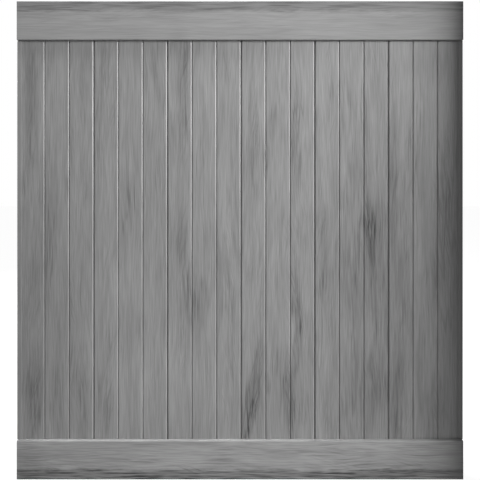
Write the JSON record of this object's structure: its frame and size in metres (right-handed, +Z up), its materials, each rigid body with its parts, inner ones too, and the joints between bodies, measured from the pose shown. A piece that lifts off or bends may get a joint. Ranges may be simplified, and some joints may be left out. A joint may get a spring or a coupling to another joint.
{
  "type": "vinyl privacy fence panel",
  "caption": "Flat privacy fence panel: hollow tongue-and-groove vinyl boards standing in the pockets of a top and a bottom rail, with a channel at each side.",
  "frame": {"origin": "middle of the bottom rail's underside, half way along the panel and half way through its thickness", "axes": "+X along the panel, to the right as seen from the front, the front faces -Y, +Z up"},
  "size_m": [1.714, 0.0508, 1.829],
  "materials": {
    "rail_vinyl": "satin",
    "board_vinyl": "satin",
    "channel_vinyl": "satin",
    "galvanised_steel": "satin"
  },
  "bodies": {
    "root": {"top_rail": "rail_vinyl", "bottom_rail": "rail_vinyl", "bottom_rail_stiffener": "galvanised_steel", "left_edge_channel": "channel_vinyl", "right_edge_channel": "channel_vinyl", "board_1": "board_vinyl", "board_2": "board_vinyl", "board_3": "board_vinyl", "board_4": "board_vinyl", "board_5": "board_vinyl", "board_6": "board_vinyl"}
  },
  "joints": []
}
